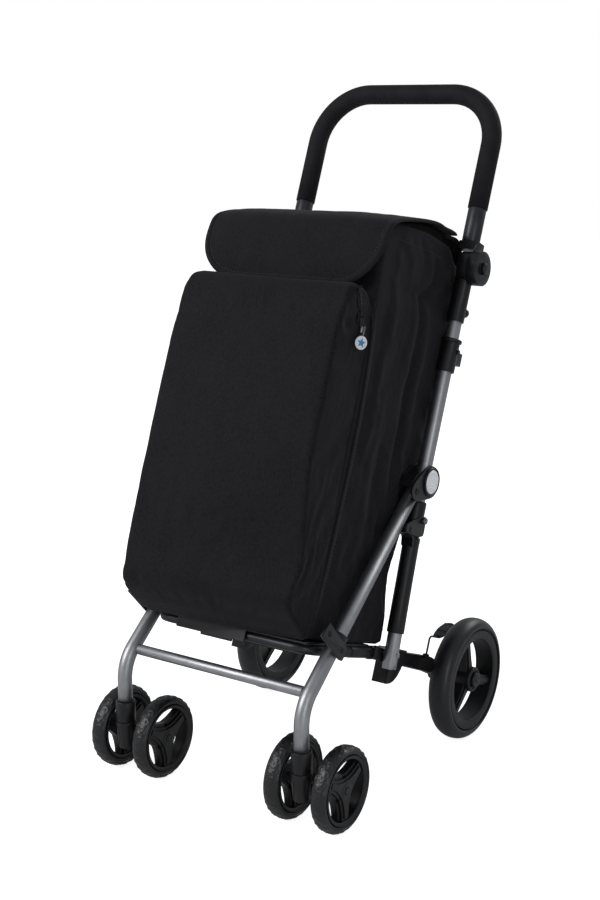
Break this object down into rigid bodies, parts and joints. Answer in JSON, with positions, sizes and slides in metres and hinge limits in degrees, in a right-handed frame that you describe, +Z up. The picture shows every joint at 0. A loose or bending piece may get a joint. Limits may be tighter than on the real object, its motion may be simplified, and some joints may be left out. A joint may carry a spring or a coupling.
{
  "type": "folding shopping trolley",
  "caption": "Folding fabric shopping trolley with insulated front pocket, leaning tube frame, twin swivel casters in front, large rear wheels, brake pedal and tilting foam handle.",
  "frame": {"origin": "bottom centre of the bounding box, on the floor", "axes": "+X to the trolley's right, +Y rearwards to the handle, +Z up; the casters are at the front, -Y"},
  "size_m": [0.425, 0.5906, 1.0299],
  "materials": {
    "silver_tube": "satin anodised tube",
    "charcoal_tube": "satin charcoal paint",
    "black_plastic": "fine-grained moulding",
    "reflector": "prismatic clear over silver",
    "foam": "closed-cell foam",
    "tyre_rubber": "smooth semi-gloss",
    "bag_fabric": "fine twill polyester"
  },
  "bodies": {
    "main_frame": {"main_tube_left": "silver_tube", "main_tube_right": "silver_tube", "knee_bracket_left": "black_plastic", "knee_bracket_right": "black_plastic", "bag_hook_left": "black_plastic", "bag_hook_right": "black_plastic", "back_bar": "charcoal_tube", "bag_body": "bag_fabric", "bag_pocket": "bag_fabric"},
    "bag_flap": {"bag_flap": "bag_fabric"},
    "zip_slider": {"zip_slider": "black_plastic"},
    "front_legs": {"leg_crossbar": "silver_tube", "leg_tube_left": "silver_tube", "leg_bracket_left": "black_plastic", "reflector_left": "reflector", "leg_clip_left": "black_plastic", "caster_socket_left": "black_plastic", "leg_tube_right": "silver_tube", "leg_bracket_right": "black_plastic", "reflector_right": "reflector", "leg_clip_right": "black_plastic", "caster_socket_right": "black_plastic"},
    "lower_legs": {"lower_leg_left": "silver_tube", "lower_cover_left": "black_plastic", "lower_leg_right": "silver_tube", "lower_cover_right": "black_plastic"},
    "base": {"base_frame": "silver_tube", "rear_axle": "silver_tube", "base_tray": "black_plastic", "base_housing_left": "black_plastic", "base_housing_right": "black_plastic"},
    "brake": {"brake_pedal": "black_plastic"},
    "handle_slider": {"handle_slider_left": "black_plastic", "handle_slider_right": "black_plastic"},
    "handle": {"handle_grip": "foam", "hub_disc_left": "charcoal_tube", "handle_leg_left": "charcoal_tube", "hub_disc_right": "charcoal_tube", "handle_leg_right": "charcoal_tube"},
    "caster_left": {"caster_fork_left": "black_plastic"},
    "front_wheel_left_inner": {"front_tyre_left_inner": "tyre_rubber", "front_rim_left_inner": "black_plastic"},
    "front_wheel_left_outer": {"front_tyre_left_outer": "tyre_rubber", "front_rim_left_outer": "black_plastic"},
    "knee_pin_left": {"knee_pin_left": "silver_tube"},
    "rear_wheel_left": {"rear_tyre_left": "tyre_rubber", "rear_rim_left": "black_plastic"},
    "height_knob_left": {"height_knob_left": "black_plastic"},
    "release_button_left": {"release_button_left": "black_plastic"},
    "caster_right": {"caster_fork_right": "black_plastic"},
    "front_wheel_right_inner": {"front_tyre_right_inner": "tyre_rubber", "front_rim_right_inner": "black_plastic"},
    "front_wheel_right_outer": {"front_tyre_right_outer": "tyre_rubber", "front_rim_right_outer": "black_plastic"},
    "knee_pin_right": {"knee_pin_right": "silver_tube"},
    "rear_wheel_right": {"rear_tyre_right": "tyre_rubber", "rear_rim_right": "black_plastic"},
    "height_knob_right": {"height_knob_right": "black_plastic"},
    "release_button_right": {"release_button_right": "black_plastic"}
  },
  "joints": [
    {"name": "frame_fold", "type": "hinge", "parent": "main_frame", "child": "front_legs", "pos_m": [0, 0.05368, 0.44368], "axis": [-1, 0, 0], "range_deg": [0, 70], "deforming": ["bag_body", "bag_pocket"]},
    {"name": "knee_fold", "type": "hinge", "parent": "main_frame", "child": "lower_legs", "pos_m": [0, -0.00221, 0.38203], "axis": [-1, 0, 0], "range_deg": [0, 101]},
    {"name": "base_fold", "type": "hinge", "parent": "lower_legs", "child": "base", "pos_m": [0, -0.03006, 0.19122], "axis": [-1, 0, 0], "range_deg": [-39, 0]},
    {"name": "flap_open", "type": "hinge", "parent": "main_frame", "child": "bag_flap", "pos_m": [0, 0.17605, 0.80346], "axis": [-1, 0, 0], "range_deg": [0, 95]},
    {"name": "zip_slide", "type": "slide", "parent": "main_frame", "child": "zip_slider", "axis": [0, -0.3714, -0.9285], "range_m": [0, 0.1]},
    {"name": "brake_press", "type": "hinge", "parent": "base", "child": "brake", "pos_m": [0, 0.09194, 0.15158], "axis": [-1, 0, 0], "range_deg": [0, 18]},
    {"name": "handle_height", "type": "slide", "parent": "main_frame", "child": "handle_slider", "axis": [0, 0.3714, 0.9285], "range_m": [-0.025, 0.022]},
    {"name": "handle_tilt", "type": "hinge", "parent": "handle_slider", "child": "handle", "pos_m": [0, 0.17586, 0.75453], "axis": [-1, 0, 0], "range_deg": [0, 100]},
    {"name": "caster_swivel_left", "type": "hinge", "parent": "front_legs", "child": "caster_left", "pos_m": [-0.16, -0.2709, 0.09], "axis": [0, 0, 1], "continuous": true},
    {"name": "front_spin_left_inner", "type": "hinge", "parent": "caster_left", "child": "front_wheel_left_inner", "pos_m": [-0.12, -0.2324, 0.063], "axis": [1, 0, 0], "continuous": true},
    {"name": "front_spin_left_outer", "type": "hinge", "parent": "caster_left", "child": "front_wheel_left_outer", "pos_m": [-0.2, -0.2324, 0.063], "axis": [1, 0, 0], "continuous": true},
    {"name": "rear_spin_left", "type": "hinge", "parent": "base", "child": "rear_wheel_left", "pos_m": [-0.187, 0.1591, 0.098], "axis": [1, 0, 0], "continuous": true},
    {"name": "knee_pin_left", "type": "slide", "parent": "main_frame", "child": "knee_pin_left", "axis": [-1, 0, 0], "range_m": [0, 0.006], "stiffness_N_per_m": 200},
    {"name": "height_knob_left", "type": "slide", "parent": "handle_slider", "child": "height_knob_left", "axis": [0, 0.9285, -0.3714], "range_m": [0, 0.006], "stiffness_N_per_m": 200},
    {"name": "release_button_left", "type": "slide", "parent": "handle", "child": "release_button_left", "axis": [1, 0, 0], "range_m": [0, 0.0035], "stiffness_N_per_m": 300},
    {"name": "caster_swivel_right", "type": "hinge", "parent": "front_legs", "child": "caster_right", "pos_m": [0.16, -0.2709, 0.09], "axis": [0, 0, 1], "continuous": true},
    {"name": "front_spin_right_inner", "type": "hinge", "parent": "caster_right", "child": "front_wheel_right_inner", "pos_m": [0.12, -0.2324, 0.063], "axis": [1, 0, 0], "continuous": true},
    {"name": "front_spin_right_outer", "type": "hinge", "parent": "caster_right", "child": "front_wheel_right_outer", "pos_m": [0.2, -0.2324, 0.063], "axis": [1, 0, 0], "continuous": true},
    {"name": "rear_spin_right", "type": "hinge", "parent": "base", "child": "rear_wheel_right", "pos_m": [0.187, 0.1591, 0.098], "axis": [1, 0, 0], "continuous": true},
    {"name": "knee_pin_right", "type": "slide", "parent": "main_frame", "child": "knee_pin_right", "axis": [1, 0, 0], "range_m": [0, 0.006], "stiffness_N_per_m": 200},
    {"name": "height_knob_right", "type": "slide", "parent": "handle_slider", "child": "height_knob_right", "axis": [0, 0.9285, -0.3714], "range_m": [0, 0.006], "stiffness_N_per_m": 200},
    {"name": "release_button_right", "type": "slide", "parent": "handle", "child": "release_button_right", "axis": [-1, 0, 0], "range_m": [0, 0.0035], "stiffness_N_per_m": 300}
  ],
  "couplings": [
    {"joint": "knee_fold", "follows": "frame_fold", "ratio": 1.43},
    {"joint": "base_fold", "follows": "frame_fold", "ratio": -0.55}
  ]
}
